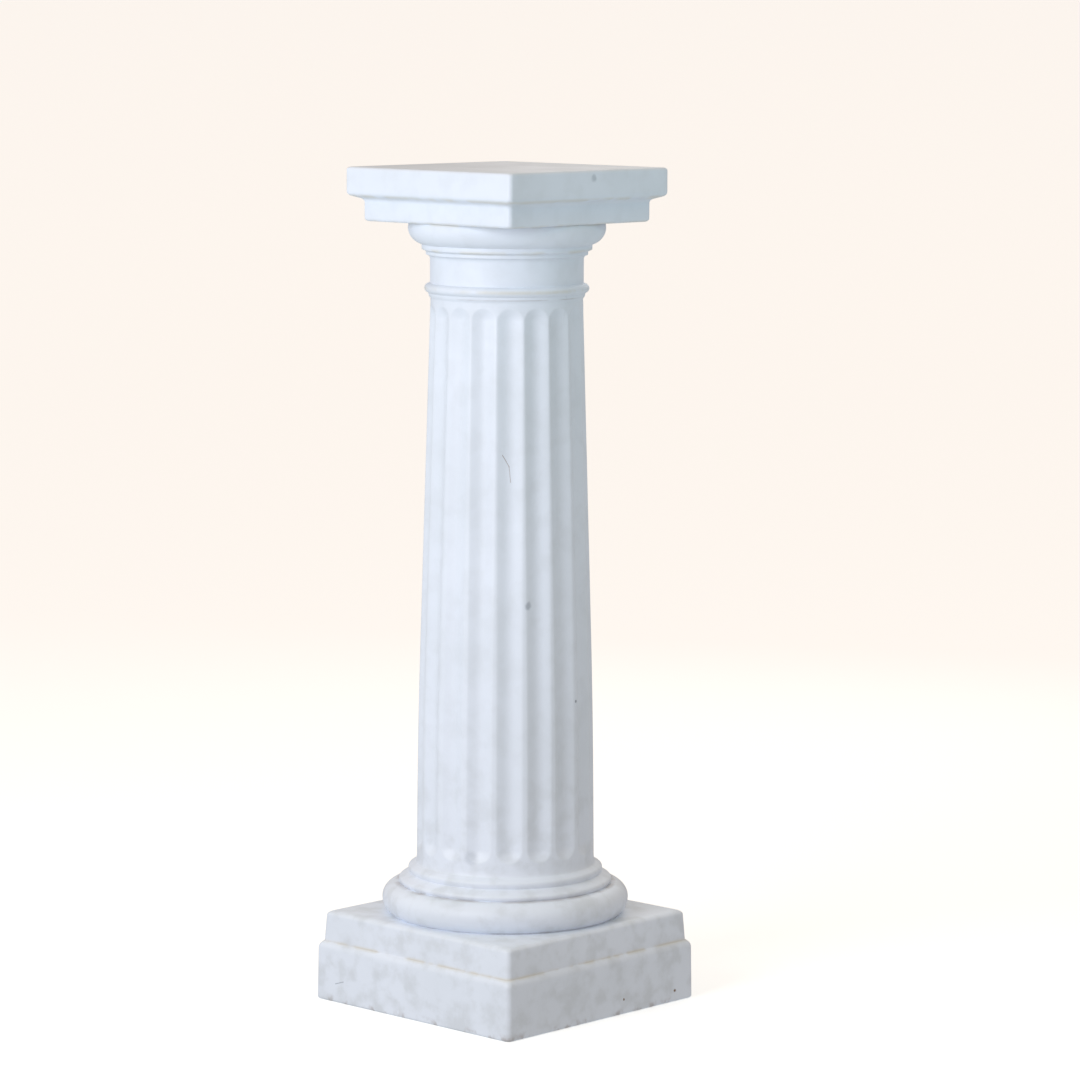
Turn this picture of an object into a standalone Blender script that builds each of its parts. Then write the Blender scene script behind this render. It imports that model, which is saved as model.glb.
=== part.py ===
"""White moulded column plinth: a fluted column between a square stepped base and a square abacus.

Metres, +Z up. The origin is the centre of the underside. The sides of the base face +X, -X, +Y
and -Y. The real thing is one moulding without a joint in it, so the model is one solid.
"""

import math

import bmesh
import bpy

# Driving sizes of the whole work
HEIGHT = 1.100
BASE_SIDE = 0.355
ABACUS_SIDE = 0.2976
NECK_RADIUS = 0.100

# Square base: a lower tier with a round shoulder and an upper tier with drafted sides
BASE_CORNER_RADIUS = 0.007
BASE_FOOT_ROUND = 0.003
LOWER_TIER_DRAFT = 0.0008
SHOULDER_START_Z = 0.0690
SHOULDER_WIDTH = 0.0058
SHOULDER_HEIGHT = 0.0145
UPPER_TIER_DRAFT = 0.0021
BASE_TOP_Z = 0.120
BASE_TOP_ROUND = 0.0055

# Mouldings of the column's base: a torus and two rings, each ring with a sloped top
TORUS_RADIUS = 0.1625
TORUS_BULGE = 0.0220
TORUS_HALF_HEIGHT = 0.0195
TORUS_MIDDLE_Z = 0.1392
WIDE_RING_RADIUS = 0.1404
WIDE_RING_TOP_Z = 0.1728
NARROW_RING_RADIUS = 0.1282
NARROW_RING_TOP_Z = 0.1854
RING_NOSE = 0.0040
RING_SLOPE = math.radians(30)
RING_STEP = 0.0007
SHAFT_FLARE = 0.0022

# Shaft: nearly upright in its lower third and straight tapered above, with soft flutes
SHAFT_FOOT_RADIUS = 0.1169
SHAFT_FOOT_Z = 0.196
SHAFT_HEAD_RADIUS = 0.0993
SHAFT_HEAD_Z = 0.930
FOOT_TAPER = 0.0075
HEAD_TAPER = 0.0290
TAPER_BLEND = 0.0009
FLUTES = 18
FLUTE_PHASE = math.radians(-3.6)
FLUTE_HALF_WIDTH = 0.0172
FLUTE_DEPTH = 0.0038
FLUTE_SECTION_POWER = 1.2
FLUTE_FOOT_Z = 0.2035
FLUTE_HEAD_Z = 0.9230

# Mouldings of the capital, upwards: collar, astragal, neck, cavetto, two fillets and ovolo
COLLAR_RADIUS = 0.1024
COLLAR_FOOT_Z = 0.9332
COLLAR_FLARE = 0.0008
ASTRAGAL_RADIUS = 0.1075
ASTRAGAL_HALF_HEIGHT = 0.0063
ASTRAGAL_Z = 0.9435
ASTRAGAL_CORE = 0.0005
NECK_FOOT_Z = 0.9515
CAVETTO_FOOT_Z = 0.9825
LOW_FILLET_RADIUS = 0.1055
LOW_FILLET_Z = 0.9880
LOW_FILLET_HEIGHT = 0.0034
HIGH_FILLET_RADIUS = 0.1110
HIGH_FILLET_Z = 0.9938
FILLET_ROUND = 0.0010
OVOLO_RADIUS = 0.1287
OVOLO_REACH = 0.0254
OVOLO_DROP = 0.0215
OVOLO_MIDDLE_Z = 1.0220
OVOLO_TUCK = 0.0010

# Abacus: a narrow tier under a slab, with a cavetto and a soft nose between them
ABACUS_FOOT_Z = 1.0300
ABACUS_TIER_SIDE = 0.2648
ABACUS_CORNER_RADIUS = 0.006
ABACUS_FOOT_ROUND = 0.0048
COVE_FOOT_Z = 1.0541
COVE_RADIUS = 0.0055
NOSE_TOP_Z = 1.0694
NOSE_RADIUS = 0.0062
UNDERCUT_ANGLE = 64
SLAB_TOP_ROUND = 0.0040

# Facets
PLAIN_STEPS_PER_FLUTE = 4
FLUTED_STEPS_PER_FLUTE = 6
CORNER_STEPS = 4
FLUTE_END_ROWS = (0.0, 0.15, 0.35, 0.65, 1.0)
SHAFT_ROWS_BETWEEN = (0.290, 0.360, 0.430, 0.680)


def arc(centre, reach, rise, start, end, steps):
    """Points (radius, z) on an ellipse about centre, from one angle in degrees to another."""
    points = []
    for step in range(steps + 1):
        angle = math.radians(start + (end - start) * step / steps)
        points.append((centre[0] + reach * math.cos(angle), centre[1] + rise * math.sin(angle)))
    return points


def base_outline():
    """Half side and height of the square base, from the underside to the edge of its top face."""
    half = BASE_SIDE / 2
    lower_top = half - LOWER_TIER_DRAFT
    upper_foot = lower_top - SHOULDER_WIDTH
    upper_top = upper_foot - UPPER_TIER_DRAFT
    outline = arc((half - BASE_FOOT_ROUND, BASE_FOOT_ROUND), BASE_FOOT_ROUND, BASE_FOOT_ROUND, -90, 0, 2)
    outline += arc((upper_foot, SHOULDER_START_Z), SHOULDER_WIDTH, SHOULDER_HEIGHT, 0, 90, 5)
    top_round_centre = (upper_top - BASE_TOP_ROUND, BASE_TOP_Z - BASE_TOP_ROUND)
    outline += arc(top_round_centre, BASE_TOP_ROUND, BASE_TOP_ROUND, 0, 90, 3)
    return outline


def ring_outline(radius, top_z, inner_radius):
    """A ring's upright face, its small round nose and its sloped top, up to the next member."""
    slope_start = radius - RING_NOSE + RING_NOSE * math.sin(RING_SLOPE)
    slope_drop = (slope_start - inner_radius) * math.tan(RING_SLOPE)
    nose_z = top_z - slope_drop - RING_NOSE * math.cos(RING_SLOPE)
    nose_end = 90 - math.degrees(RING_SLOPE)
    return arc((radius - RING_NOSE, nose_z), RING_NOSE, RING_NOSE, 0, nose_end, 2) + [(inner_radius, top_z)]


def foot_mouldings():
    """Radius and height of the torus, the two rings and the flare into the shaft."""
    torus_centre = (TORUS_RADIUS - TORUS_BULGE, TORUS_MIDDLE_Z)
    torus_start = math.degrees(math.asin((BASE_TOP_Z - TORUS_MIDDLE_Z) / TORUS_HALF_HEIGHT))
    outline = arc(torus_centre, TORUS_BULGE, TORUS_HALF_HEIGHT, torus_start, 90, 7)
    outline += ring_outline(WIDE_RING_RADIUS, WIDE_RING_TOP_Z, NARROW_RING_RADIUS + RING_STEP)
    outline += ring_outline(NARROW_RING_RADIUS, NARROW_RING_TOP_Z, SHAFT_FOOT_RADIUS + SHAFT_FLARE)
    flare_centre = (SHAFT_FOOT_RADIUS + SHAFT_FLARE, SHAFT_FOOT_Z)
    flare_height = SHAFT_FOOT_Z - NARROW_RING_TOP_Z
    return outline + arc(flare_centre, SHAFT_FLARE, flare_height, 270, 180, 2)[1:]


def shaft_radius(z):
    """Radius over the arrises: the upright foot line and the tapered head line, softly joined."""
    foot_line = SHAFT_FOOT_RADIUS - FOOT_TAPER * (z - SHAFT_FOOT_Z)
    head_line = SHAFT_HEAD_RADIUS + HEAD_TAPER * (SHAFT_HEAD_Z - z)
    joined = math.exp(-foot_line / TAPER_BLEND + SHAFT_HEAD_RADIUS / TAPER_BLEND)
    joined += math.exp(-head_line / TAPER_BLEND + SHAFT_HEAD_RADIUS / TAPER_BLEND)
    return SHAFT_HEAD_RADIUS - TAPER_BLEND * math.log(joined)


def flute_depth(offset_angle, z):
    """Depth of a flute at an angle from its middle line; its two ends are round."""
    across = shaft_radius(z) * offset_angle / FLUTE_HALF_WIDTH
    below = FLUTE_FOOT_Z + FLUTE_HALF_WIDTH - z
    above = z - (FLUTE_HEAD_Z - FLUTE_HALF_WIDTH)
    past_end = max(below, above, 0.0) / FLUTE_HALF_WIDTH
    distance = math.hypot(across, past_end)
    if distance >= 1:
        return 0.0
    return FLUTE_DEPTH * math.cos(distance * math.pi / 2) ** FLUTE_SECTION_POWER


def shaft_heights():
    """Heights of the shaft's rows: close together in the flutes' round ends."""
    foot_end = [FLUTE_FOOT_Z + FLUTE_HALF_WIDTH * share for share in FLUTE_END_ROWS]
    head_end = [FLUTE_HEAD_Z - FLUTE_HALF_WIDTH * share for share in reversed(FLUTE_END_ROWS)]
    return foot_end + list(SHAFT_ROWS_BETWEEN) + head_end


def head_mouldings():
    """Radius and height from the shaft's head to the underside of the abacus."""
    outline = [(SHAFT_HEAD_RADIUS, SHAFT_HEAD_Z)]
    outline.append((COLLAR_RADIUS - COLLAR_FLARE, COLLAR_FOOT_Z))
    outline.append((COLLAR_RADIUS, ASTRAGAL_Z - ASTRAGAL_HALF_HEIGHT))
    core = NECK_RADIUS + ASTRAGAL_CORE
    bulge = ASTRAGAL_RADIUS - core
    astragal_start = -math.degrees(math.acos((COLLAR_RADIUS - core) / bulge))
    outline += arc((core, ASTRAGAL_Z), bulge, ASTRAGAL_HALF_HEIGHT, astragal_start, 90, 4)
    outline.append((NECK_RADIUS, NECK_FOOT_Z))
    cavetto_reach = LOW_FILLET_RADIUS - FILLET_ROUND / 2 - NECK_RADIUS
    cavetto_centre = (NECK_RADIUS + cavetto_reach, CAVETTO_FOOT_Z)
    outline += arc(cavetto_centre, cavetto_reach, LOW_FILLET_Z - CAVETTO_FOOT_Z, 180, 90, 2)
    outline.append((LOW_FILLET_RADIUS, LOW_FILLET_Z + LOW_FILLET_HEIGHT))
    outline.append((HIGH_FILLET_RADIUS - FILLET_ROUND, HIGH_FILLET_Z))
    outline.append((HIGH_FILLET_RADIUS, HIGH_FILLET_Z + FILLET_ROUND))
    ovolo_centre = (OVOLO_RADIUS - OVOLO_REACH, OVOLO_MIDDLE_Z)
    ovolo_start = -math.degrees(math.acos((HIGH_FILLET_RADIUS - ovolo_centre[0]) / OVOLO_REACH))
    outline += arc(ovolo_centre, OVOLO_REACH, OVOLO_DROP, ovolo_start, 0, 5)
    outline.append((OVOLO_RADIUS - OVOLO_TUCK, ABACUS_FOOT_Z))
    return outline


def abacus_outline():
    """Half side and height of the abacus, from its underside to its flat top face."""
    tier = ABACUS_TIER_SIDE / 2
    slab = ABACUS_SIDE / 2
    foot_round_centre = (tier - ABACUS_FOOT_ROUND, ABACUS_FOOT_Z + ABACUS_FOOT_ROUND)
    outline = arc(foot_round_centre, ABACUS_FOOT_ROUND, ABACUS_FOOT_ROUND, -90, 0, 2)
    cove_centre = (tier + COVE_RADIUS, COVE_FOOT_Z)
    outline += arc(cove_centre, COVE_RADIUS, COVE_RADIUS, 180, 180 - UNDERCUT_ANGLE, 3)
    nose_centre = (slab - NOSE_RADIUS, NOSE_TOP_Z)
    outline += arc(nose_centre, NOSE_RADIUS, NOSE_RADIUS, -UNDERCUT_ANGLE, 0, 3)
    top_round_centre = (slab - SLAB_TOP_ROUND, HEIGHT - SLAB_TOP_ROUND)
    outline += arc(top_round_centre, SLAB_TOP_ROUND, SLAB_TOP_ROUND, 0, 90, 3)
    return outline


def square_loop(mesh, half, z, corner_radius):
    """Vertices of a square with round corners, counted from the end of its +X -Y corner."""
    reach = (half - corner_radius) * math.sqrt(2)
    points = []
    for corner in range(4):
        turn = math.tau * corner / 4
        middle_x = reach * math.cos(turn + math.tau / 8)
        middle_y = reach * math.sin(turn + math.tau / 8)
        for step in range(CORNER_STEPS + 1):
            angle = turn + math.tau / 4 * step / CORNER_STEPS
            x = middle_x + corner_radius * math.cos(angle)
            y = middle_y + corner_radius * math.sin(angle)
            points.append((x, y, z))
    points = points[-1:] + points[:-1]
    return [mesh.verts.new(point) for point in points]


def round_loop(mesh, radius, z):
    """Vertices of a plain circle, counted from the middle of the first flute."""
    count = FLUTES * PLAIN_STEPS_PER_FLUTE
    angles = [FLUTE_PHASE + math.tau * step / count for step in range(count)]
    return [mesh.verts.new((radius * math.cos(a), radius * math.sin(a), z)) for a in angles]


def fluted_loop(mesh, z):
    """Vertices of the fluted shaft at one height."""
    vertices = []
    pitch = math.tau / FLUTES
    for flute in range(FLUTES):
        for step in range(FLUTED_STEPS_PER_FLUTE):
            offset = pitch * step / FLUTED_STEPS_PER_FLUTE
            from_middle = min(offset, pitch - offset)
            radius = shaft_radius(z) - flute_depth(from_middle, z)
            angle = FLUTE_PHASE + flute * pitch + offset
            vertices.append(mesh.verts.new((radius * math.cos(angle), radius * math.sin(angle), z)))
    return vertices


def unwrapped_angles(loop):
    """Angle of each vertex about the axis, growing along the loop, with the first one repeated."""
    angles = [math.atan2(vertex.co.y, vertex.co.x) for vertex in loop]
    for index in range(1, len(angles)):
        while angles[index] < angles[index - 1]:
            angles[index] += math.tau
    return angles + [angles[0] + math.tau]


def skin(mesh, lower, upper):
    """Faces between two loops: quads where their counts match, else triangles walked by angle."""
    low_count = len(lower)
    high_count = len(upper)
    if low_count == high_count:
        for index in range(low_count):
            after = (index + 1) % low_count
            mesh.faces.new((lower[index], lower[after], upper[after], upper[index]))
        return
    low_angles = unwrapped_angles(lower)
    high_angles = unwrapped_angles(upper)
    low = 0
    high = 0
    while low < low_count or high < high_count:
        low_middle = math.inf if low == low_count else low_angles[low] + low_angles[low + 1]
        high_middle = math.inf if high == high_count else high_angles[high] + high_angles[high + 1]
        corner_low = lower[low % low_count]
        corner_high = upper[high % high_count]
        if low_middle <= high_middle:
            low += 1
            mesh.faces.new((corner_low, lower[low % low_count], corner_high))
        else:
            high += 1
            mesh.faces.new((corner_low, upper[high % high_count], corner_high))


def all_loops(mesh):
    """Every loop of the work, from the underside to the top."""
    loops = [square_loop(mesh, half, z, BASE_CORNER_RADIUS) for half, z in base_outline()]
    loops += [round_loop(mesh, radius, z) for radius, z in foot_mouldings()]
    loops += [fluted_loop(mesh, z) for z in shaft_heights()]
    loops += [round_loop(mesh, radius, z) for radius, z in head_mouldings()]
    loops += [square_loop(mesh, half, z, ABACUS_CORNER_RADIUS) for half, z in abacus_outline()]
    return loops


def white_gelcoat():
    """White moulded resin with a satin gelcoat skin."""
    material = bpy.data.materials.new("white_gelcoat")
    material.use_nodes = True
    shader = material.node_tree.nodes["Principled BSDF"]
    shader.inputs["Base Color"].default_value = (0.83, 0.85, 0.87, 1)
    shader.inputs["Roughness"].default_value = 0.5
    shader.inputs["Metallic"].default_value = 0.0
    return material


def build():
    """Skin the loops into one closed solid and put it in the scene."""
    for old in list(bpy.data.objects):
        bpy.data.objects.remove(old)
    mesh = bmesh.new()
    loops = all_loops(mesh)
    for lower, upper in zip(loops, loops[1:]):
        skin(mesh, lower, upper)
    mesh.faces.new(reversed(loops[0]))
    mesh.faces.new(loops[-1])
    data = bpy.data.meshes.new("column_plinth")
    mesh.to_mesh(data)
    mesh.free()
    data.materials.append(white_gelcoat())
    data.shade_smooth()
    data.set_sharp_from_angle(angle=math.radians(35))
    plinth = bpy.data.objects.new("column_plinth", data)
    bpy.context.scene.collection.objects.link(plinth)


build()
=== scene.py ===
"""White moulded column plinth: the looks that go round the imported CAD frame.

Metres, +Z up, with the centre of the underside at the origin. The real thing is one moulding, so
one closed mesh stands for the CAD node: turned and square members skinned from their outlines, and
a shaft whose flutes are pressed in by Geometry Nodes.
"""

import math

import bmesh
import bpy
import numpy as np
from mathutils import Matrix, Vector


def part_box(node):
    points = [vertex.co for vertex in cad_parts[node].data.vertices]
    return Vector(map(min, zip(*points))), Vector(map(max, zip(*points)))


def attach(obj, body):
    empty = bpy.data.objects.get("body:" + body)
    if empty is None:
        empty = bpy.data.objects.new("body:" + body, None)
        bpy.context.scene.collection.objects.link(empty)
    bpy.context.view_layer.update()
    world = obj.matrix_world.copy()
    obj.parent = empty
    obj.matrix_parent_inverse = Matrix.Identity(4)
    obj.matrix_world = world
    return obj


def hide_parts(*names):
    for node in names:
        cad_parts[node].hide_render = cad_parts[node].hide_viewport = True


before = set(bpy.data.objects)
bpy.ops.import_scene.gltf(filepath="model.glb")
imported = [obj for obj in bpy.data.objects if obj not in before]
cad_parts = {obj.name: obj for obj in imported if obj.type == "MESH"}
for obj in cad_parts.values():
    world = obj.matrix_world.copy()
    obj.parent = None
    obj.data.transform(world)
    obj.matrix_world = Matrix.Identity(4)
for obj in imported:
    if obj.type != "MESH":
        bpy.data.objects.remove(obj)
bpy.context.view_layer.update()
NODE = "column_plinth"
LOW_CORNER, HIGH_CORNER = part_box(NODE)

# Driving sizes, from the frame
HEIGHT = HIGH_CORNER.z - LOW_CORNER.z
BASE_HALF = HIGH_CORNER.x

# Square base: a lower tier with a round shoulder and an upper tier with drafted sides
BASE_CORNER_RADIUS = 0.007
BASE_FOOT_ROUND = 0.003
LOWER_TIER_DRAFT = 0.0008
SHOULDER_TOP_Z = 0.0787
SHOULDER_WIDTH = 0.0058
SHOULDER_HEIGHT = 0.0095
SHOULDER_TURN = 52
UPPER_TIER_DRAFT = 0.0021
BASE_TOP_Z = 0.1188
BASE_TOP_ROUND_WIDTH = 0.0110
BASE_TOP_ROUND_HEIGHT = 0.0060

# Mouldings of the column's base: a torus and two rings, each ring with a sloped top
TORUS_RADIUS = 0.1625
TORUS_BULGE = 0.0220
TORUS_RISE = 0.0195
TORUS_MIDDLE_Z = 0.1392
TORUS_TUCK = 60
WIDE_RING_RADIUS = 0.1404
WIDE_RING_TOP_Z = 0.1725
NARROW_RING_RADIUS = 0.1282
NARROW_RING_TOP_Z = 0.1854
RING_NOSE = 0.0040
RING_SLOPE = math.radians(27)
RING_TUCK = 50
RING_CREASE = 0.0019
SHAFT_FLARE = 0.0022

# Shaft: nearly upright in its lower third and straight tapered above, with soft flutes
SHAFT_FOOT_RADIUS = 0.1169
SHAFT_FOOT_Z = 0.196
SHAFT_HEAD_RADIUS = 0.0993
SHAFT_HEAD_Z = 0.930
FOOT_TAPER = 0.0075
HEAD_TAPER = 0.0290
TAPER_BLEND = 0.0009
FLUTES = 18
FIRST_FLUTE = math.radians(-3.6)
FLUTE_HALF_WIDTH = 0.0172
FLUTE_DEPTH = 0.0057
FLUTE_SECTION_POWER = 1.2
FLUTE_FOOT_Z = 0.2035
FLUTE_HEAD_Z = 0.9230

# Mouldings of the capital, upwards: collar, astragal, neck, cavetto, two fillets and ovolo
COLLAR_RADIUS = 0.1024
COLLAR_FOOT_Z = 0.9332
COLLAR_FLARE = 0.0008
ASTRAGAL_RADIUS = 0.1075
ASTRAGAL_HALF_HEIGHT = 0.0063
ASTRAGAL_Z = 0.9435
NECK_RADIUS = 0.100
NECK_FOOT_Z = 0.9515
CAVETTO_FOOT_Z = 0.9815
LOW_FILLET_RADIUS = 0.1055
LOW_FILLET_Z = 0.9869
LOW_FILLET_HEIGHT = 0.0045
HIGH_FILLET_RADIUS = 0.1110
HIGH_FILLET_Z = 0.9938
OVOLO_RADIUS = 0.1287
OVOLO_REACH = 0.0254
OVOLO_DROP = 0.0227
OVOLO_MIDDLE_Z = 1.0220

# Abacus: a narrow tier under a slab, with a cavetto and a soft nose between them
SLAB_HALF = 0.1488
TIER_HALF = 0.1324
ABACUS_FOOT_Z = 1.0295
ABACUS_CORNER_RADIUS = 0.006
ABACUS_FOOT_ROUND = 0.0044
COVE_FOOT_Z = 1.0541
COVE_RADIUS = 0.0055
NOSE_TOP_Z = 1.0682
NOSE_RADIUS = 0.0062
UNDERCUT_ANGLE = 64
SLAB_TOP_ROUND = 0.0040

# Mesh: how soft the mould leaves each corner, and how close the rows of vertices are
FINE_STEP = 0.0002
MOULD_SOFTNESS = 0.0006
TURN_PER_ROW = math.radians(16)
ROW_GROWTH = 0.9
LONGEST_ROW = 0.0025
FLAT_MARGIN = 0.004
TOP_MARGIN = 0.0006
PLAIN_COLUMNS = 144
FLUTED_COLUMNS = 432
FLUTE_END_ROWS = 22
SHAFT_MIDDLE_ROWS = 40
CORNER_STEPS = 8
SIDE_STEPS = 14

# Unevenness of a hand-laid shell
WAVE_HEIGHT = 0.0005
WAVE_LENGTH = 0.110

# Camera, as the perspective of the two squares gives it
CAMERA_AZIMUTH = math.radians(-46.07)
CAMERA_DISTANCE = 5.558
CAMERA_HEIGHT = 1.318
CAMERA_TILT = math.radians(7.232)
CAMERA_AIM_RIGHT = math.radians(0.457)
CAMERA_ROLL = math.radians(0.22)
CAMERA_LENS = 142.5
SENSOR_WIDTH = 36.0

# Light: tones of the walls, and how much of its own light the ground adds
FLOOR_TONE = "#D3DBDA"
HORIZON_TONE = "#B1A9AA"
CEILING_TONE = "#DCD0C0"
GROUND_GLOW = 0.40

# Gelcoat tones
WHITE = "#E7EEF9"
CLOUD_TONE = "#E1E8F2"
BLOTCH_TONE = "#D3D9E0"
BEIGE_DUST = "#D8D4C6"
GREY_RUB = "#8F98A3"
# Brown of earth splashes and the hair, also used for painted shade in the creases and along the foot
BROWN_EARTH_AND_SHADE = "#7A5B3A"

# Relief, each height in metres
RIPPLE_HEIGHT = 0.00018
PEEL_HEIGHT = 0.00002
SEAM_RIDGE = 0.0004
SEAM_OFFSET = 0.0040
SEAM_HALF_WIDTH = 0.0012
SEAM_HEIGHT = 0.935
SEAM_LENGTH = 0.090

# Random grit: one cell in ten holds a grain
GRIT_SPACING = 0.020
GRIT_RADIUS = 0.0008
GRIT_SHARE = 0.10

# Dirt and painted shade by height
CREASE_HALF_WIDTH = 0.0012
WORN_HALF_WIDTH = 0.004
FOOT_DIRT_AND_SHADE_HEIGHT = 0.012

# Marks on the shaft: degrees round from +X, and height
SHAFT_SMUDGE = (-31, 0.54)
FOOT_SMUDGE = (-69, 0.21)
DARK_NICK = (7, 0.41)
HAIR_TOP = (-49, 0.735)
HAIR_BEND = (-44, 0.72)
HAIR_END = (-43, 0.70)

# Marks on flat faces: how far along the face, and height
NEAR_SPLASH = (0.04, 0.02)
FAR_SPLASH = (0.14, 0.015)
SCRATCH_START = (-0.14, 0.025)
SCRATCH_END = (-0.125, 0.03)
SLAB_SMUDGE = (0.005, 1.09)

# Kinds of node, and how a mask fades
MATH = "ShaderNodeMath"
VECTOR_MATH = "ShaderNodeVectorMath"
MAP_RANGE = "ShaderNodeMapRange"
NOISE = "ShaderNodeTexNoise"
SMOOTH = "SMOOTHSTEP"


def arc(centre, reach, rise, start, end, steps=64):
    """Points (radius, z) on an ellipse about centre, from one angle in degrees to another."""
    angles = np.radians(np.linspace(start, end, steps + 1))
    return [(centre[0] + reach * math.cos(a), centre[1] + rise * math.sin(a)) for a in angles]


def base_outline():
    """Half side and height of the square base, from the underside to the flat of its top."""
    lower_top = BASE_HALF - LOWER_TIER_DRAFT
    upper_top = lower_top - SHOULDER_WIDTH - UPPER_TIER_DRAFT
    foot_centre = (BASE_HALF - BASE_FOOT_ROUND, BASE_FOOT_ROUND)
    outline = [(foot_centre[0] - FLAT_MARGIN, 0.0)]
    outline += arc(foot_centre, BASE_FOOT_ROUND, BASE_FOOT_ROUND, -90, 0)
    reach = SHOULDER_WIDTH / (1 - math.cos(math.radians(SHOULDER_TURN)))
    rise = SHOULDER_HEIGHT / math.sin(math.radians(SHOULDER_TURN))
    shoulder_centre = (lower_top - reach, SHOULDER_TOP_Z - SHOULDER_HEIGHT)
    outline += arc(shoulder_centre, reach, rise, 0, SHOULDER_TURN)
    top_centre = (upper_top - BASE_TOP_ROUND_WIDTH, BASE_TOP_Z - BASE_TOP_ROUND_HEIGHT)
    outline += arc(top_centre, BASE_TOP_ROUND_WIDTH, BASE_TOP_ROUND_HEIGHT, 0, 90)
    outline.append((top_centre[0] - TOP_MARGIN, BASE_TOP_Z))
    return outline


def ring_outline(radius, foot_z, top_z, inner_radius):
    """A ring: a round bead that tucks in below, and a sloped top up to the next member."""
    slope_start = radius - RING_NOSE + RING_NOSE * math.sin(RING_SLOPE)
    slope_drop = (slope_start - inner_radius) * math.tan(RING_SLOPE)
    nose_z = top_z - slope_drop - RING_NOSE * math.cos(RING_SLOPE)
    tuck_reach = RING_CREASE / (1 - math.cos(math.radians(RING_TUCK)))
    tuck_rise = (nose_z - foot_z) / math.sin(math.radians(RING_TUCK))
    outline = arc((radius - tuck_reach, nose_z), tuck_reach, tuck_rise, -RING_TUCK, 0)
    nose_end = 90 - math.degrees(RING_SLOPE)
    outline += arc((radius - RING_NOSE, nose_z), RING_NOSE, RING_NOSE, 0, nose_end)
    return outline + [(inner_radius, top_z)]


def foot_outline():
    """Radius and height of the torus, the two rings and the flare into the shaft."""
    torus_centre = (TORUS_RADIUS - TORUS_BULGE, TORUS_MIDDLE_Z)
    torus_fall = (TORUS_MIDDLE_Z - BASE_TOP_Z) / math.sin(math.radians(TORUS_TUCK))
    torus = arc(torus_centre, TORUS_BULGE, torus_fall, -TORUS_TUCK, 0)
    torus += arc(torus_centre, TORUS_BULGE, TORUS_RISE, 0, 90)
    outline = [(torus[0][0] + TOP_MARGIN, BASE_TOP_Z)] + torus
    torus_top_z = TORUS_MIDDLE_Z + TORUS_RISE
    narrow_foot = NARROW_RING_RADIUS - RING_CREASE
    outline += ring_outline(WIDE_RING_RADIUS, torus_top_z, WIDE_RING_TOP_Z, narrow_foot)
    shaft_foot = SHAFT_FOOT_RADIUS + SHAFT_FLARE
    outline += ring_outline(NARROW_RING_RADIUS, WIDE_RING_TOP_Z, NARROW_RING_TOP_Z, shaft_foot)
    flare_centre = (SHAFT_FOOT_RADIUS + SHAFT_FLARE, SHAFT_FOOT_Z)
    outline += arc(flare_centre, SHAFT_FLARE, SHAFT_FOOT_Z - NARROW_RING_TOP_Z, 270, 180)
    return outline


def shaft_radius(z):
    """Radius over the arrises: the upright foot line and the tapered head line, softly joined."""
    foot_line = SHAFT_FOOT_RADIUS - FOOT_TAPER * (z - SHAFT_FOOT_Z)
    head_line = SHAFT_HEAD_RADIUS + HEAD_TAPER * (SHAFT_HEAD_Z - z)
    joined = math.exp(-foot_line / TAPER_BLEND + SHAFT_HEAD_RADIUS / TAPER_BLEND)
    joined += math.exp(-head_line / TAPER_BLEND + SHAFT_HEAD_RADIUS / TAPER_BLEND)
    return SHAFT_HEAD_RADIUS - TAPER_BLEND * math.log(joined)


def shaft_rows():
    """Radius and height of the shaft's rows: close together in the flutes' round ends."""
    foot_end = np.linspace(FLUTE_FOOT_Z, FLUTE_FOOT_Z + FLUTE_HALF_WIDTH, FLUTE_END_ROWS)
    head_end = np.linspace(FLUTE_HEAD_Z - FLUTE_HALF_WIDTH, FLUTE_HEAD_Z, FLUTE_END_ROWS)
    middle = np.linspace(foot_end[-1], head_end[0], SHAFT_MIDDLE_ROWS)[1:-1]
    heights = [*foot_end, *middle, *head_end]
    return [(shaft_radius(z), z) for z in heights]


def head_outline():
    """Radius and height from the shaft's head to the underside of the abacus."""
    bulge = ASTRAGAL_RADIUS - NECK_RADIUS
    astragal_start = -math.degrees(math.acos((COLLAR_RADIUS - NECK_RADIUS) / bulge))
    ovolo_centre = (OVOLO_RADIUS - OVOLO_REACH, OVOLO_MIDDLE_Z)
    ovolo_start = -math.degrees(math.acos((HIGH_FILLET_RADIUS - ovolo_centre[0]) / OVOLO_REACH))
    ovolo_end = math.degrees(math.asin((ABACUS_FOOT_Z - OVOLO_MIDDLE_Z) / OVOLO_DROP))
    cavetto_reach = LOW_FILLET_RADIUS - NECK_RADIUS
    cavetto_rise = LOW_FILLET_Z - CAVETTO_FOOT_Z
    outline = [(SHAFT_HEAD_RADIUS, SHAFT_HEAD_Z - COLLAR_FLARE)]
    outline.append((SHAFT_HEAD_RADIUS, SHAFT_HEAD_Z))
    outline.append((COLLAR_RADIUS - COLLAR_FLARE, COLLAR_FOOT_Z))
    outline.append((COLLAR_RADIUS, ASTRAGAL_Z - ASTRAGAL_HALF_HEIGHT))
    outline += arc((NECK_RADIUS, ASTRAGAL_Z), bulge, ASTRAGAL_HALF_HEIGHT, astragal_start, 90)
    outline.append((NECK_RADIUS, NECK_FOOT_Z))
    outline += arc((LOW_FILLET_RADIUS, CAVETTO_FOOT_Z), cavetto_reach, cavetto_rise, 180, 90)
    outline.append((LOW_FILLET_RADIUS, LOW_FILLET_Z + LOW_FILLET_HEIGHT))
    outline.append((HIGH_FILLET_RADIUS, HIGH_FILLET_Z))
    outline += arc(ovolo_centre, OVOLO_REACH, OVOLO_DROP, ovolo_start, ovolo_end)
    outline.append((TIER_HALF - ABACUS_FOOT_ROUND - 0.002, ABACUS_FOOT_Z))
    return outline


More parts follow.
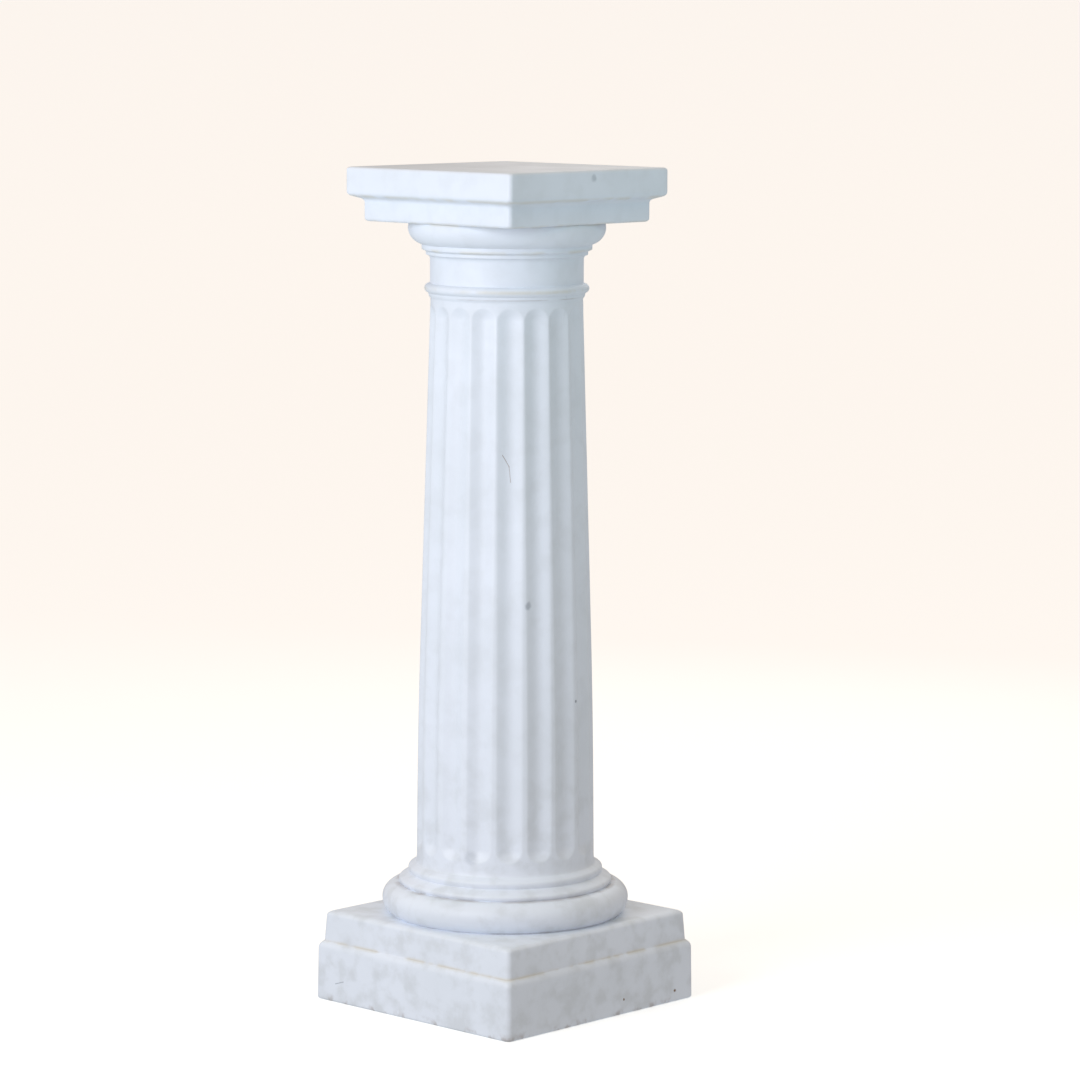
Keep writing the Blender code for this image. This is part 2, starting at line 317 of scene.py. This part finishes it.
def abacus_outline():
    """Half side and height of the abacus, from its underside to the flat of its top face."""
    foot_centre = (TIER_HALF - ABACUS_FOOT_ROUND, ABACUS_FOOT_Z + ABACUS_FOOT_ROUND)
    outline = [(foot_centre[0] - 0.001, ABACUS_FOOT_Z)]
    outline += arc(foot_centre, ABACUS_FOOT_ROUND, ABACUS_FOOT_ROUND, -90, 0)
    cove_centre = (TIER_HALF + COVE_RADIUS, COVE_FOOT_Z)
    outline += arc(cove_centre, COVE_RADIUS, COVE_RADIUS, 180, 180 - UNDERCUT_ANGLE)
    nose_centre = (SLAB_HALF - NOSE_RADIUS, NOSE_TOP_Z)
    outline += arc(nose_centre, NOSE_RADIUS, NOSE_RADIUS, -UNDERCUT_ANGLE, 0)
    top_centre = (SLAB_HALF - SLAB_TOP_ROUND, HEIGHT - SLAB_TOP_ROUND)
    outline += arc(top_centre, SLAB_TOP_ROUND, SLAB_TOP_ROUND, 0, 90)
    outline.append((top_centre[0] - FLAT_MARGIN, HEIGHT))
    return outline


def softened(outline):
    """The outline in fine even steps, with every corner rounded as a mould and its gelcoat do."""
    line = np.array(outline)
    along = np.concatenate([[0], np.cumsum(np.hypot(*np.diff(line, axis=0).T))])
    even = np.linspace(0, along[-1], round(along[-1] / FINE_STEP) + 1)
    fine = np.stack([np.interp(even, along, line[:, axis]) for axis in (0, 1)], axis=1)
    reach = round(3 * MOULD_SOFTNESS / FINE_STEP)
    offsets = np.arange(-reach, reach + 1) * FINE_STEP / MOULD_SOFTNESS
    weights = np.exp(-0.5 * offsets**2)
    before = 2 * fine[0] - fine[reach:0:-1]
    after = 2 * fine[-1] - fine[-2 : -reach - 2 : -1]
    padded = np.concatenate([before, fine, after])
    weights /= weights.sum()
    return np.stack([np.convolve(padded[:, axis], weights, "valid") for axis in (0, 1)], axis=1)


def thinned(fine):
    """A few of the fine points: close together where the line bends, further apart by degrees."""
    steps = np.diff(fine, axis=0)
    heading = np.unwrap(np.arctan2(steps[:, 1], steps[:, 0]))
    bend = np.abs(np.diff(heading)) / FINE_STEP
    bend = np.concatenate([bend[:1], bend, bend[-1:]])
    wanted = np.minimum(TURN_PER_ROW / np.maximum(bend, 1), LONGEST_ROW)
    for index in range(1, len(wanted)):
        wanted[index] = min(wanted[index], wanted[index - 1] + ROW_GROWTH * FINE_STEP)
    for index in reversed(range(len(wanted) - 1)):
        wanted[index] = min(wanted[index], wanted[index + 1] + ROW_GROWTH * FINE_STEP)
    rows = np.concatenate([[0], np.cumsum(FINE_STEP / wanted[1:])])
    chosen = np.linspace(0, rows[-1], math.ceil(rows[-1]) + 1)
    return [tuple(np.interp(row, rows, fine[:, axis]) for axis in (0, 1)) for row in chosen]


def square_loop(mesh, half, z, corner_radius):
    """Vertices of a square with round corners, from the middle of its +X side."""
    straight = half - corner_radius
    points = []
    for side in range(4):
        for step in range(1, SIDE_STEPS):
            points.append((half, -straight * math.cos(math.pi * step / SIDE_STEPS), side))
        for step in range(CORNER_STEPS + 1):
            angle = math.tau / 4 * step / CORNER_STEPS
            x = straight + corner_radius * math.cos(angle)
            points.append((x, straight + corner_radius * math.sin(angle), side))
    first = SIDE_STEPS // 2 - 1
    points = points[first:] + points[:first]
    vertices = []
    for x, y, side in points:
        turned = Matrix.Rotation(math.tau * side / 4, 2) @ Vector((x, y))
        vertices.append(mesh.verts.new((turned.x, turned.y, z)))
    return vertices


def round_loop(mesh, radius, z, columns):
    """Vertices of a circle, from the middle of the first flute."""
    angles = [FIRST_FLUTE + math.tau * step / columns for step in range(columns)]
    return [mesh.verts.new((radius * math.cos(a), radius * math.sin(a), z)) for a in angles]


def unwrapped_angles(loop):
    """Angle of each vertex about the axis, growing along the loop, with the first one repeated."""
    angles = np.unwrap([math.atan2(vertex.co.y, vertex.co.x) for vertex in loop])
    return [*angles, angles[0] + math.tau]


def skin(mesh, lower, upper):
    """Faces between two loops: quads where their counts match, else triangles walked by angle."""
    low_count = len(lower)
    high_count = len(upper)
    if low_count == high_count:
        for index in range(low_count):
            after = (index + 1) % low_count
            mesh.faces.new((lower[index], lower[after], upper[after], upper[index]))
        return
    low_angles = unwrapped_angles(lower)
    high_angles = unwrapped_angles(upper)
    low = 0
    high = 0
    while low < low_count or high < high_count:
        low_middle = math.inf if low == low_count else low_angles[low] + low_angles[low + 1]
        high_middle = math.inf if high == high_count else high_angles[high] + high_angles[high + 1]
        corner_low = lower[low % low_count]
        corner_high = upper[high % high_count]
        if low_middle <= high_middle:
            low += 1
            mesh.faces.new((corner_low, lower[low % low_count], corner_high))
        else:
            high += 1
            mesh.faces.new((corner_low, upper[high % high_count], corner_high))


def blank():
    """The plinth with a plain round shaft, as one closed mesh."""
    mesh = bmesh.new()
    square = [square_loop(mesh, *row, BASE_CORNER_RADIUS) for row in thinned(softened(base_outline()))]
    foot = [round_loop(mesh, *row, PLAIN_COLUMNS) for row in thinned(softened(foot_outline()))]
    shaft = [round_loop(mesh, *row, FLUTED_COLUMNS) for row in shaft_rows()]
    head = [round_loop(mesh, *row, PLAIN_COLUMNS) for row in thinned(softened(head_outline()))]
    rows = thinned(softened(abacus_outline()))
    abacus = [square_loop(mesh, *row, ABACUS_CORNER_RADIUS) for row in rows]
    loops = square + foot + shaft + head + abacus
    for lower, upper in zip(loops, loops[1:]):
        skin(mesh, lower, upper)
    mesh.faces.new(reversed(loops[0]))
    mesh.faces.new(loops[-1])
    for face in mesh.faces:
        face.smooth = True
    data = bpy.data.meshes.new("plinth_blank")
    mesh.to_mesh(data)
    mesh.free()
    plinth = bpy.data.objects.new("plinth", data)
    bpy.context.scene.collection.objects.link(plinth)
    return plinth


def add(tree, kind, feeds=None, **settings):
    """Add a node with its settings. feeds gives each input a value, a socket or a node."""
    node = tree.nodes.new(kind)
    for name, value in settings.items():
        setattr(node, name, value)
    for socket, value in (feeds or {}).items():
        if isinstance(value, bpy.types.Node):
            value = value.outputs[0]
        if isinstance(value, bpy.types.NodeSocket):
            tree.links.new(value, node.inputs[socket])
        else:
            node.inputs[socket].default_value = value
    return node


def flute_tree(sizes):
    """Geometry Nodes that press round-ended flutes into a shaft and leave its shell uneven."""
    tree = bpy.data.node_groups.new("pressed_flutes", "GeometryNodeTree")
    tree.interface.new_socket("Blank", in_out="INPUT", socket_type="NodeSocketGeometry")
    for name, (kind, _) in sizes.items():
        tree.interface.new_socket(name, in_out="INPUT", socket_type=kind)
    tree.interface.new_socket("Plinth", in_out="OUTPUT", socket_type="NodeSocketGeometry")
    given = add(tree, "NodeGroupInput").outputs
    place = add(tree, "GeometryNodeInputPosition")
    parts = add(tree, "ShaderNodeSeparateXYZ", {0: place}).outputs
    outward = add(tree, "ShaderNodeCombineXYZ", {0: parts[0], 1: parts[1]})
    radius = add(tree, VECTOR_MATH, {0: outward}, operation="LENGTH").outputs[1]

    # Angle from the middle line of the nearest flute
    angle = add(tree, MATH, {0: parts[1], 1: parts[0]}, operation="ARCTAN2")
    from_first = add(tree, MATH, {0: angle, 1: given["First Flute"]}, operation="SUBTRACT")
    half_pitch = add(tree, MATH, {0: math.pi, 1: given["Flutes"]}, operation="DIVIDE")
    least = add(tree, MATH, {0: half_pitch, 1: -1.0}, operation="MULTIPLY")
    offset = add(tree, MATH, {0: from_first, 1: half_pitch, 2: least}, operation="WRAP")

    # How far across the flute a point is, and how far past the middle of a round end, in half widths
    half_width = given["Half Width"]
    aside = add(tree, MATH, {0: radius, 1: offset}, operation="MULTIPLY")
    across = add(tree, MATH, {0: aside, 1: half_width}, operation="DIVIDE")
    foot_middle = add(tree, MATH, {0: given["Foot Height"], 1: half_width}, operation="ADD")
    head_middle = add(tree, MATH, {0: given["Head Height"], 1: half_width}, operation="SUBTRACT")
    below = add(tree, MATH, {0: foot_middle, 1: parts[2]}, operation="SUBTRACT")
    above = add(tree, MATH, {0: parts[2], 1: head_middle}, operation="SUBTRACT")
    past = add(tree, MATH, {0: below, 1: above}, operation="MAXIMUM")
    past = add(tree, MATH, {0: past, 1: 0.0}, operation="MAXIMUM")
    past = add(tree, MATH, {0: past, 1: half_width}, operation="DIVIDE")
    reach = add(tree, "ShaderNodeCombineXYZ", {0: across, 1: past})
    reach = add(tree, VECTOR_MATH, {0: reach}, operation="LENGTH").outputs[1]

    # Depth there, and the move towards the axis
    reach = add(tree, MATH, {0: reach, 1: 1.0}, operation="MINIMUM")
    turn = add(tree, MATH, {0: reach, 1: math.pi / 2}, operation="MULTIPLY")
    section = add(tree, MATH, {0: turn}, operation="COSINE")
    section = add(tree, MATH, {0: section, 1: 0.0}, operation="MAXIMUM")
    section = add(tree, MATH, {0: section, 1: given["Section Power"]}, operation="POWER")
    depth = add(tree, MATH, {0: section, 1: given["Depth"]}, operation="MULTIPLY")
    inward = add(tree, MATH, {0: depth, 1: -1.0}, operation="MULTIPLY")
    direction = add(tree, VECTOR_MATH, {0: outward}, operation="NORMALIZE")
    press = add(tree, VECTOR_MATH, {0: direction, "Scale": inward}, operation="SCALE")

    # Long, low waves of the upright faces; the ledges and the two ends stay level
    waves = {"Vector": place, "W": given["Seed"], "Scale": given["Waves per Metre"], "Detail": 1.0}
    noise = add(tree, "ShaderNodeTexNoise", waves, noise_dimensions="4D").outputs["Color"]
    centred = add(tree, VECTOR_MATH, {0: noise, 1: (0.5, 0.5, 0.5)}, operation="SUBTRACT")
    level = add(tree, VECTOR_MATH, {0: centred, 1: (1.0, 1.0, 0.0)}, operation="MULTIPLY")
    wave = add(tree, VECTOR_MATH, {0: level, "Scale": given["Wave Height"]}, operation="SCALE")
    move = add(tree, VECTOR_MATH, {0: press, 1: wave}, operation="ADD")

    pressed = add(tree, "GeometryNodeSetPosition", {"Geometry": given["Blank"], "Offset": move})
    real = add(tree, "GeometryNodeRealizeInstances", {"Geometry": pressed})
    finish = {"Geometry": real, "Material": given["Finish"]}
    add(tree, "NodeGroupOutput", {"Plinth": add(tree, "GeometryNodeSetMaterial", finish)})
    return tree


def press_flutes(plinth, material):
    """Give the plinth its flutes and unevenness, and keep the result as a plain mesh."""
    sizes = {
        "Flutes": ("NodeSocketInt", FLUTES),
        "First Flute": ("NodeSocketFloat", FIRST_FLUTE),
        "Half Width": ("NodeSocketFloat", FLUTE_HALF_WIDTH),
        "Depth": ("NodeSocketFloat", FLUTE_DEPTH),
        "Section Power": ("NodeSocketFloat", FLUTE_SECTION_POWER),
        "Foot Height": ("NodeSocketFloat", FLUTE_FOOT_Z),
        "Head Height": ("NodeSocketFloat", FLUTE_HEAD_Z),
        "Wave Height": ("NodeSocketFloat", WAVE_HEIGHT),
        "Waves per Metre": ("NodeSocketFloat", 1 / WAVE_LENGTH),
        "Seed": ("NodeSocketFloat", 3.0),
        "Finish": ("NodeSocketMaterial", material),
    }
    tree = flute_tree(sizes)
    modifier = plinth.modifiers.new("flutes", "NODES")
    modifier.node_group = tree
    for item in tree.interface.items_tree:
        if item.in_out == "INPUT" and item.name in sizes:
            modifier[item.identifier] = sizes[item.name][1]
    view = bpy.context.evaluated_depsgraph_get()
    pressed = bpy.data.meshes.new_from_object(plinth.evaluated_get(view), depsgraph=view)
    plinth.modifiers.remove(modifier)
    plinth.data = pressed


def linear(code):
    """Linear RGBA of an sRGB hex colour."""
    shares = [int(code[start : start + 2], 16) / 255 for start in (1, 3, 5)]
    return (*[s / 12.92 if s <= 0.04045 else ((s + 0.055) / 1.055) ** 2.4 for s in shares], 1.0)


def unrolled(tree, coords):
    """The shaft's skin laid out flat: metres round it from +X, and height."""
    parts = add(tree, "ShaderNodeSeparateXYZ", {0: coords}).outputs
    angle = add(tree, MATH, {0: parts[1], 1: parts[0]}, operation="ARCTAN2")
    feeds = {0: angle, 1: SHAFT_FOOT_RADIUS}
    around = add(tree, MATH, feeds, operation="MULTIPLY")
    return add(tree, "ShaderNodeCombineXYZ", {0: around, 1: parts[2]})


def on_shaft(degrees, z):
    """The place of a mark on the unrolled shaft."""
    return Vector((math.radians(degrees) * SHAFT_FOOT_RADIUS, z, 0))


def shaken(tree, coords, size, reach):
    """Coordinates moved about at random, so that what is drawn on them has a ragged edge."""
    noise = add(tree, NOISE, {"Vector": coords, "Scale": 0.5 / size}).outputs["Color"]
    centred = add(tree, VECTOR_MATH, {0: noise, 1: (0.5, 0.5, 0.5)}, operation="SUBTRACT")
    move = add(tree, VECTOR_MATH, {0: centred, "Scale": 2 * reach}, operation="SCALE")
    return add(tree, VECTOR_MATH, {0: coords, 1: move}, operation="ADD")


def spot(tree, coords, centre, radius, strength):
    """A soft-edged round mark."""
    away = add(tree, VECTOR_MATH, {0: coords, 1: centre}, operation="DISTANCE").outputs[1]
    feeds = {"Value": away, "From Min": radius, "From Max": 0.3 * radius, "To Max": strength}
    return add(tree, MAP_RANGE, feeds, interpolation_type=SMOOTH)


def line_mark(tree, coords, start, end, half_width, strength):
    """A thin line from one point to another."""
    course = end - start
    along = add(tree, VECTOR_MATH, {0: coords, 1: start}, operation="SUBTRACT")
    feeds = {0: along, 1: course / course.length_squared}
    share = add(tree, VECTOR_MATH, feeds, operation="DOT_PRODUCT").outputs[1]
    share = add(tree, "ShaderNodeClamp", {0: share})
    nearest = add(tree, VECTOR_MATH, {0: course, "Scale": share}, operation="SCALE")
    away = add(tree, VECTOR_MATH, {0: along, 1: nearest}, operation="DISTANCE").outputs[1]
    feeds = {"Value": away, "From Min": half_width, "From Max": 0.4 * half_width}
    feeds["To Max"] = strength
    return add(tree, MAP_RANGE, feeds, interpolation_type=SMOOTH)


def soft_line(tree, coordinate, other_mask, middle, half_width, strength):
    """A line at one value of a coordinate, gone half a width away, times another mask."""
    away = add(tree, MATH, {0: coordinate, 1: middle}, operation="SUBTRACT")
    away = add(tree, MATH, {0: away}, operation="ABSOLUTE")
    feeds = {"Value": away, "From Min": half_width, "From Max": 0.0, "To Max": strength}
    line = add(tree, MAP_RANGE, feeds, interpolation_type=SMOOTH)
    return add(tree, MATH, {0: line, 1: other_mask}, operation="MULTIPLY")


def handling_marks(tree, coords):
    """Grey rubs and a scratch on the skin, each with its tone."""
    soft = shaken(tree, coords, 0.004, 0.0025)
    crisp = shaken(tree, coords, 0.0012, 0.0004)
    soft_shaft = unrolled(tree, soft)
    slab_smudge = Vector((SLAB_HALF, *SLAB_SMUDGE))
    scratch_start = Vector((SCRATCH_START[0], -BASE_HALF, SCRATCH_START[1]))
    scratch_end = Vector((SCRATCH_END[0], -BASE_HALF, SCRATCH_END[1]))
    masks = [
        spot(tree, soft_shaft, on_shaft(*SHAFT_SMUDGE), 0.0070, 0.55),
        spot(tree, soft_shaft, on_shaft(*FOOT_SMUDGE), 0.0120, 0.32),
        spot(tree, unrolled(tree, crisp), on_shaft(*DARK_NICK), 0.0028, 1.0),
        spot(tree, soft, slab_smudge, 0.0065, 0.42),
        line_mark(tree, crisp, scratch_start, scratch_end, 0.0009, 0.70),
    ]
    return [(mask, GREY_RUB) for mask in masks]


def earth_and_foot_shade_marks(tree, coords, height):
    """Splashes low on one face, a hair stuck on the shaft, and a brown band along the foot that is partly
    soil and partly painted shade.
    """
    soft = shaken(tree, coords, 0.002, 0.0012)
    shaft = unrolled(tree, shaken(tree, coords, 0.003, 0.0007))
    bend = on_shaft(*HAIR_BEND)
    clumps = add(tree, NOISE, {"Vector": coords, "Scale": 0.5 / 0.009, "Detail": 4.0})
    feeds = {"Value": clumps, "From Min": 0.48, "From Max": 0.68, "To Max": 0.5}
    clumps = add(tree, MAP_RANGE, feeds, interpolation_type=SMOOTH)
    masks = [
        spot(tree, soft, Vector((BASE_HALF, *NEAR_SPLASH)), 0.0026, 1.0),
        spot(tree, soft, Vector((BASE_HALF, *FAR_SPLASH)), 0.0032, 1.0),
        line_mark(tree, shaft, on_shaft(*HAIR_TOP), bend, 0.0008, 0.55),
        line_mark(tree, shaft, bend, on_shaft(*HAIR_END), 0.0007, 0.50),
        # Brown band along the foot: partly soil, partly painted shade on the rounded bottom edge
        soft_line(tree, height, clumps, 0.0, FOOT_DIRT_AND_SHADE_HEIGHT, 1.0),
    ]
    return [(mask, BROWN_EARTH_AND_SHADE) for mask in masks]


def weathering_and_crease_shade(tree, coords, height):
    """Brown in the creases, partly dirt and partly painted shade, and dust gone beige on the members that
    stand proud.
    """
    patchy = add(tree, NOISE, {"Vector": coords, "Scale": 0.5 / 0.015})
    feeds = {"Value": patchy, "From Min": 0.35, "From Max": 0.60}
    patchy = add(tree, MAP_RANGE, feeds, interpolation_type=SMOOTH)
    layers = []

    # The torus's crease line of dirt and painted shade is kept just above the base's flat top, so that the
    # flat stays unmarked
    torus_foot = BASE_TOP_Z + CREASE_HALF_WIDTH
    # Brown crease lines: partly dirt, partly painted shade where the members meet
    for ledge_z in (SHOULDER_TOP_Z, torus_foot, TORUS_MIDDLE_Z + TORUS_RISE, COLLAR_FOOT_Z):
        mask = soft_line(tree, height, patchy, ledge_z, CREASE_HALF_WIDTH, 0.30)
        layers.append((mask, BROWN_EARTH_AND_SHADE))
    for ledge_z in (SHOULDER_TOP_Z, ASTRAGAL_Z, HIGH_FILLET_Z, ABACUS_FOOT_Z, NOSE_TOP_Z - NOSE_RADIUS):
        mask = soft_line(tree, height, patchy, ledge_z, WORN_HALF_WIDTH, 0.55)
        layers.append((mask, BEIGE_DUST))
    return layers


def caught_grit(tree, coords):
    """Fine dark grains caught in the gelcoat here and there."""
    feeds = {"Vector": coords, "Scale": 1 / GRIT_SPACING}
    grains = add(tree, "ShaderNodeTexVoronoi", feeds).outputs
    picked = add(tree, "ShaderNodeSeparateColor", {0: grains["Color"]})
    rare = add(tree, MATH, {0: picked, 1: GRIT_SHARE}, operation="LESS_THAN")
    feeds = {"Value": grains["Distance"], "From Min": GRIT_RADIUS / GRIT_SPACING, "From Max": 0.0}
    feeds["To Max"] = 0.55
    near = add(tree, MAP_RANGE, feeds, interpolation_type=SMOOTH)
    return [(add(tree, MATH, {0: rare, 1: near}, operation="MULTIPLY"), GREY_RUB)]


def mould_seam(tree, coords, height):
    """The two upright ridges where the halves of the mould met, left only round the necking."""
    parts = add(tree, "ShaderNodeSeparateXYZ", {0: shaken(tree, coords, 0.010, 0.0008)}).outputs
    line = soft_line(tree, parts[1], 1.0, SEAM_OFFSET, SEAM_HALF_WIDTH, SEAM_RIDGE)
    return soft_line(tree, height, line, SEAM_HEIGHT, SEAM_LENGTH / 2, 1.0)


def white_gelcoat():
    """Glass-fibre resin laid up in a mould against a white gelcoat.

    The mould gives a smooth, cool white skin with a satin sheen, long soft ripples and no grain.
    Use and rain leave it cloudy, with beige edges, grey rubs and a few brown splashes. The brown in the
    creases and along the foot is partly dirt and partly painted shade.
    """
    material = bpy.data.materials.new("white_gelcoat")
    material.use_nodes = True
    tree = material.node_tree
    shader = tree.nodes["Principled BSDF"]
    shader.inputs["IOR"].default_value = 1.5
    coords = add(tree, "ShaderNodeTexCoord").outputs["Object"]
    height = add(tree, "ShaderNodeSeparateXYZ", {0: coords}).outputs[2]

    # Cloudy tone: hand-wide clouds all over, and thumb-sized blotches that grow towards the ground
    cloud = add(tree, NOISE, {"Vector": coords, "Scale": 0.5 / 0.070, "Detail": 3.0})
    feeds = {"Value": cloud, "From Min": 0.35, "From Max": 0.70}
    cloud = add(tree, MAP_RANGE, feeds, interpolation_type=SMOOTH)
    blotch = add(tree, NOISE, {"Vector": coords, "Scale": 0.5 / 0.014, "Detail": 5.0})
    feeds = {"Value": blotch, "From Min": 0.42, "From Max": 0.70}
    blotch = add(tree, MAP_RANGE, feeds, interpolation_type=SMOOTH)
    feeds = {"Value": height, "From Min": 0.45, "From Max": 0.0, "To Min": 0.25, "To Max": 0.80}
    low = add(tree, MAP_RANGE, feeds, interpolation_type=SMOOTH)
    blotch = add(tree, MATH, {0: blotch, 1: low}, operation="MULTIPLY")
    layers = [(cloud, CLOUD_TONE), (blotch, BLOTCH_TONE)]
    layers += weathering_and_crease_shade(tree, coords, height)
    layers += caught_grit(tree, coords)
    layers += handling_marks(tree, coords)
    layers += earth_and_foot_shade_marks(tree, coords, height)
    colour = linear(WHITE)
    for mask, tone in layers:
        feeds = {0: mask, 6: colour, 7: linear(tone)}
        colour = add(tree, "ShaderNodeMix", feeds, data_type="RGBA").outputs[2]
    tree.links.new(colour, shader.inputs["Base Color"])

    # Sheen: satin, a little duller in the clouds
    sheen = add(tree, MAP_RANGE, {"Value": cloud, "To Min": 0.44, "To Max": 0.52})
    tree.links.new(sheen.outputs[0], shader.inputs["Roughness"])

    # Relief in metres: ripples of the shell, the gelcoat's orange peel, and the mould's seam
    relief = mould_seam(tree, coords, height)
    for size, rise in ((0.022, RIPPLE_HEIGHT), (0.0035, PEEL_HEIGHT)):
        noise = add(tree, NOISE, {"Vector": coords, "Scale": 0.5 / size})
        feeds = {0: noise, 1: rise, 2: relief}
        relief = add(tree, MATH, feeds, operation="MULTIPLY_ADD")
    bump = add(tree, "ShaderNodeBump", {"Height": relief, "Distance": 1.0})
    tree.links.new(bump.outputs[0], shader.inputs["Normal"])
    return material


def opal_sheet():
    """Back-lit opal acrylic, which gives a plain, even and nearly white ground with soft shadows."""
    material = bpy.data.materials.new("opal_acrylic_sheet")
    material.use_nodes = True
    shader = material.node_tree.nodes["Principled BSDF"]
    shader.inputs["Base Color"].default_value = linear("#F8F8F8")
    shader.inputs["Roughness"].default_value = 0.9
    shader.inputs["Emission Color"].default_value = linear("#FFFFFF")
    shader.inputs["Emission Strength"].default_value = GROUND_GLOW
    return material


def floor():
    """A wide round floor that turns up gently far away, so that every side has a plain ground."""
    mesh = bmesh.new()
    outline = [(radius, 0.0) for radius in (1.0, 3.0, 6.0, 10.0)]
    outline += arc((10.0, 14.0), 14.0, 14.0, -88, -50, 24)
    loops = []
    for radius, z in outline:
        angles = [math.tau * step / 96 for step in range(96)]
        loops.append([mesh.verts.new((radius * math.cos(a), radius * math.sin(a), z)) for a in angles])
    for lower, upper in zip(loops, loops[1:]):
        for index in range(96):
            after = (index + 1) % 96
            face = mesh.faces.new((lower[index], upper[index], upper[after], lower[after]))
            face.smooth = True
    mesh.faces.new(loops[0])
    data = bpy.data.meshes.new("floor")
    mesh.to_mesh(data)
    mesh.free()
    data.materials.append(opal_sheet())
    ground = bpy.data.objects.new("floor", data)

    # The walls give the plinth its light from below, so the glowing sheet adds none of its own
    ground.visible_diffuse = False
    ground.visible_glossy = False
    ground.visible_shadow = False
    bpy.context.scene.collection.objects.link(ground)


def lamp(name, kind, power, bearing, distance, height, aim_height, **settings):
    """A lamp at a bearing in degrees right of the camera, aimed at a height on the axis."""
    azimuth = CAMERA_AZIMUTH + math.radians(bearing)
    light = bpy.data.lights.new(name, kind)
    light.energy = power
    for setting, value in settings.items():
        setattr(light, setting, value)
    thing = bpy.data.objects.new(name, light)
    place = Vector((distance * math.cos(azimuth), distance * math.sin(azimuth), height))
    aim = Vector((0, 0, aim_height)) - place
    thing.matrix_world = Matrix.Translation(place) @ aim.to_track_quat("-Z", "Y").to_matrix().to_4x4()
    bpy.context.scene.collection.objects.link(thing)


def pale_walls():
    """Even light from all round: a cool floor below, a grey horizon and a warmer ceiling."""
    world = bpy.data.worlds.new("pale_walls")
    world.use_nodes = True
    tree = world.node_tree
    height = add(tree, "ShaderNodeSeparateXYZ", {0: add(tree, "ShaderNodeTexCoord").outputs["Generated"]})
    share = add(tree, "ShaderNodeMapRange", {"Value": height.outputs[2], "From Min": -1.0})
    shades = add(tree, "ShaderNodeValToRGB", {0: share})
    stops = shades.color_ramp.elements
    stops.new(0.5)
    for stop, tone in zip(stops, (FLOOR_TONE, HORIZON_TONE, CEILING_TONE)):
        stop.color = linear(tone)
    tree.links.new(shades.outputs[0], tree.nodes["Background"].inputs["Color"])
    bpy.context.scene.world = world


def studio_light():
    """A big soft box on the left, a small cool one by the capital on the right, and pale walls."""
    lamp("left_box", "AREA", 27.5, -42, 2.1, 1.25, 0.8, shape="SQUARE", size=1.3, color=(0.875, 0.93, 1.0))
    lamp("right_box", "AREA", 1.35, 60, 1.1, 1.35, 1.05, shape="SQUARE", size=0.8, color=(0.2, 0.87, 1.0))
    lamp("far_left_box", "AREA", 1.8, -105, 2.1, 1.2, 0.8, shape="SQUARE", size=1.4, color=(0.6, 1.0, 0.95))
    lamp("back_box", "AREA", 5.0, 165, 2.4, 1.7, 0.6, shape="SQUARE", size=1.4)
    pale_walls()


def camera():
    """The camera of the photograph: a long lens at eye height, in front of one corner."""
    data = bpy.data.cameras.new("camera")
    data.lens = CAMERA_LENS
    data.sensor_width = SENSOR_WIDTH
    data.clip_end = 100.0
    thing = bpy.data.objects.new("camera", data)
    x = CAMERA_DISTANCE * math.cos(CAMERA_AZIMUTH)
    y = CAMERA_DISTANCE * math.sin(CAMERA_AZIMUTH)
    heading = CAMERA_AZIMUTH + math.pi / 2 - CAMERA_AIM_RIGHT
    turned = Matrix.Rotation(heading, 4, "Z")
    tilted = Matrix.Rotation(math.pi / 2 - CAMERA_TILT, 4, "X")
    rolled = Matrix.Rotation(CAMERA_ROLL, 4, "Z")
    thing.matrix_world = Matrix.Translation((x, y, CAMERA_HEIGHT)) @ turned @ tilted @ rolled
    bpy.context.scene.collection.objects.link(thing)
    bpy.context.scene.camera = thing


plinth = blank()
press_flutes(plinth, white_gelcoat())
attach(plinth, "root")
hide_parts(NODE)
floor()
studio_light()
camera()
bpy.context.scene.view_settings.view_transform = "Standard"
